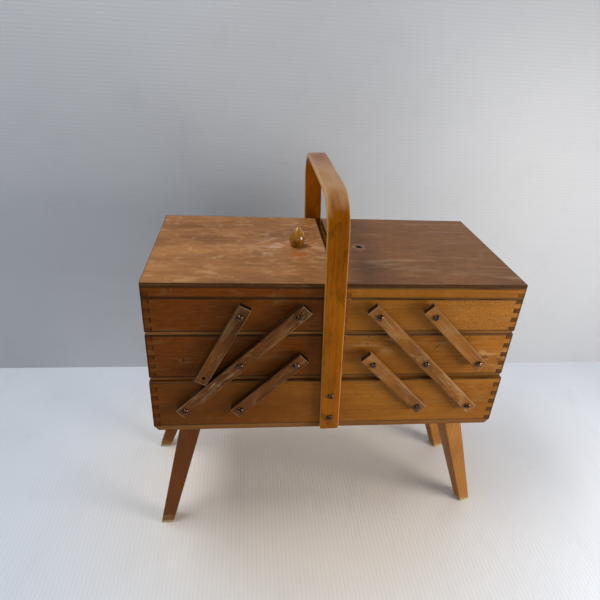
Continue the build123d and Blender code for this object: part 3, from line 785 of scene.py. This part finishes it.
def add_knob():
    """The left lid's knob, in place of the CAD one."""
    piece = add("turned_knob", lathe(knob_profile(), KNOB_SEGMENTS))
    smooth(piece.data, 50)
    piece.data.transform(Matrix.Translation(KNOB_CENTRE))
    finish_piece(piece, knob_wood("turned_knob", KNOB_SEED), body_of("knob"))
    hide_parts("knob")


HINGE_Y = 55 * MM
HINGE_SCREW_SPACING = 20 * MM
HINGE_SCREW_INSET = 3.6 * MM  # from a leaf's far edge
LEAF = 1.0 * MM


def hinge_screw_mesh():
    """A small countersunk screw with a slotted, slightly raised head."""
    radius, height = 1.9 * MM, 0.35 * MM
    length, point, neck = 3 * MM, 0.7 * MM, 0.8 * MM
    profile = [(0, -length), (point, -length), (neck, -1 * MM), (radius, 0),
               (radius * 0.75, height * 0.8), (0, height)]
    return slotted(profile, radius, height + 0.7 * MM)


def add_hinge_screws(material):
    """Two small countersunk screws in every hinge leaf."""
    template = hinge_screw_mesh()
    places = [centre + shift for centre in (-HINGE_Y, HINGE_Y)
              for shift in (-HINGE_SCREW_SPACING / 2, HINGE_SCREW_SPACING / 2)]
    total = 0
    for side, sign in (("left", -1), ("right", 1)):
        for part, up in (("tray", -1), ("lid", 1)):
            node = f"{side}_{part}_hinge_leaves"
            low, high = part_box(node)
            edge = high.z if up > 0 else low.z
            for y in places:
                piece = add(f"{node}_screw_{total}", template.copy())
                spin = Matrix.Rotation(random.uniform(0, math.pi), 4, "Z")
                turn = Matrix.Rotation(sign * math.pi / 2, 4, "Y")
                place = Vector((sign * (HALF_LENGTH + LEAF), y, edge - up * HINGE_SCREW_INSET))
                piece.data.transform(Matrix.Translation(place) @ turn @ spin)
                finish_piece(piece, material, body_of(node))
                total += 1


# ---- CAD pieces -----------------------------------------------------------------------------
FIRST_SEED = 100
LID_EDGE = 1.1 * MM
BOARD_EDGE = 0.6 * MM


def soften(node, width):
    """Rounds a board's sharp edges a little."""
    bevel = NODES[node].modifiers.new("eased edges", "BEVEL")
    bevel.width = width
    bevel.segments = 3
    bevel.limit_method = "ANGLE"
    bevel.angle_limit = math.radians(40)
    bevel.harden_normals = True


def dress_nodes(steel, brass):
    """Materials for every CAD node, and eased edges for all but the screws, the hinge leaves,
    the handle, the knob and the legs.
    """
    for seed, node in enumerate(sorted(NODES)):
        if node.endswith("_screws"):
            material = steel
        elif node.endswith("_leaves"):
            material = brass
        else:
            material = wood_for(node, FIRST_SEED + seed)
            if node not in ("handle", "knob") and not node.startswith("leg_"):
                soften(node, LID_EDGE if node.endswith("lid_panel") else BOARD_EDGE)
        mesh = NODES[node].data
        if mesh.materials:
            for index in range(len(mesh.materials)):
                mesh.materials[index] = material
        else:
            mesh.materials.append(material)


# ---- floor, wall and lights -------------------------------------------------------------------
WALL_Y = 276 * MM
RIB_PITCH = 5.4 * MM
FLOOR_GAP = 0.1 * MM  # keeps the floor off the feet
SHEET_SIZE = 6.0
WALL_HEIGHT = 4.0
WALL_FOOT = -20 * MM
FLOOR_COLOUR = srgb(221, 224, 230)
# Painted warm light bounced from the box onto the floor near it.
FLOOR_BOUNCE_TINT = srgb(232, 221, 208)
WALL_COLOUR = srgb(187, 188, 191)


def fluted(name, colour, bounce_tint, roughness, axis):
    """White fluted plastic sheet whose ribs repeat along one axis, with warm light bounced from
    the box painted on it near the box. It is clear from behind, so that the wall hides nothing
    from there."""
    graph = Graph(name)
    away = graph.vector("LENGTH", graph.vector("MULTIPLY", graph.position, (1, 1, 0)))
    # painted warm bounce light near the box
    colour = graph.mix(graph.step(away, 0.1, 0.42), bounce_tint, colour)
    place = graph.axes(graph.position)[axis]
    wave = graph.math("SINE", graph.times(place, 2 * math.pi / RIB_PITCH))
    rib = graph.step(wave, -1.0, -0.55, 0.0, 1.0)
    cloud = graph.noise(graph.position, (3, 3, 3), 3.0, 0.5)
    scuffed = graph.noise(graph.position, (24, 9, 24), 4.0, 0.7)
    shade = graph.times(graph.step(cloud, 0.3, 0.7, 0.96, 1.02),
                        graph.step(rib, 0.0, 1.0, 0.95, 1.0),
                        graph.step(scuffed, 0.5, 0.8, 1.0, 0.95))
    graph.set(Base_Color=graph.mix(1.0, colour, shade, "MULTIPLY"), Roughness=roughness)
    graph.bump(rib, 0.15 * MM, 0.4)
    graph.clear_from_behind()
    return graph.material


def sheet_mesh(length, width):
    """A flat rectangle round the origin, facing up."""
    mesh = bpy.data.meshes.new("sheet")
    x, y = length / 2, width / 2
    mesh.from_pydata([(-x, -y, 0), (x, -y, 0), (x, y, 0), (-x, y, 0)], [], [(0, 1, 2, 3)])
    return mesh


def add_room():
    """Pale fluted sheets, one lying under the box and one standing behind it."""
    floor = add("floor", sheet_mesh(SHEET_SIZE, SHEET_SIZE))
    floor.data.transform(Matrix.Translation((0, 0, -FLOOR_GAP)))
    floor.data.materials.append(fluted("floor_sheet", FLOOR_COLOUR, FLOOR_BOUNCE_TINT, 0.32, 0))
    wall = add("wall", sheet_mesh(SHEET_SIZE, WALL_HEIGHT))
    place = Matrix.Translation((0, WALL_Y, WALL_FOOT + WALL_HEIGHT / 2))
    wall.data.transform(place @ Matrix.Rotation(math.pi / 2, 4, "X"))
    wall.data.materials.append(fluted("wall_sheet", WALL_COLOUR, WALL_COLOUR, 0.5, 2))


def add_light(name, place, target, size, power, colour):
    """A rectangular soft light that faces its target."""
    light = bpy.data.lights.new(name, "AREA")
    light.shape = "RECTANGLE"
    light.size, light.size_y = size
    light.energy = power
    light.color = colour
    lamp = bpy.data.objects.new(name, light)
    lamp.location = place
    lamp.rotation_euler = (Vector(target) - Vector(place)).to_track_quat("-Z", "Y").to_euler()
    bpy.context.scene.collection.objects.link(lamp)


def add_lights():
    """A window at the right, weak light from low in front, a wide light high up at the left,
    and light from the rest of the room."""
    add_light("window", place=(0.80, -0.46, 0.34), target=(0.0, 0.0, 0.28),
              size=(0.42, 0.42), power=7.4, colour=(1.0, 0.97, 0.92))
    add_light("front", place=(-0.3, -1.3, 0.3), target=(0.0, 0.0, 0.05),
              size=(1.2, 0.3), power=1.4, colour=(0.95, 0.98, 1.0))
    add_light("ceiling", place=(-0.55, 0.0, 1.4), target=(-0.2, 0.0, 0.1),
              size=(1.0, 0.4), power=13.5, colour=(0.93, 0.97, 1.0))
    world = bpy.data.worlds.new("room")
    world.use_nodes = True
    background = world.node_tree.nodes["Background"]
    background.inputs["Color"].default_value = (0.80, 0.88, 1.0, 1.0)
    background.inputs["Strength"].default_value = 0.27
    bpy.context.scene.world = world


def add_camera():
    """The viewpoint: a little left of the middle, above the lids, looking down at the box."""
    place = (-0.0957, -0.5460, 0.6052)
    yaw, pitch, roll = -0.1210, 0.5027, -0.0619
    camera = bpy.data.objects.new("camera", bpy.data.cameras.new("camera"))
    camera.data.lens = 30.28
    camera.data.sensor_width = 36.0
    turn = Matrix.Rotation(yaw, 4, "Z") @ Matrix.Rotation(-pitch, 4, "X")
    turn = turn @ Matrix.Rotation(roll, 4, "Y") @ Matrix.Rotation(math.pi / 2, 4, "X")
    camera.matrix_world = Matrix.Translation(place) @ turn
    bpy.context.scene.collection.objects.link(camera)
    bpy.context.scene.camera = camera


# ---- the whole scene --------------------------------------------------------------------------
screw_steel = metal("screw_steel", STEEL, 0.14)
hinge_brass = metal("hinge_brass", BRASS, 0.34)
dress_nodes(screw_steel, hinge_brass)
add_screws(screw_steel)
add_hinge_screws(hinge_brass)
add_knob()
add_room()
add_lights()
add_camera()
bpy.context.scene.view_settings.view_transform = "Standard"
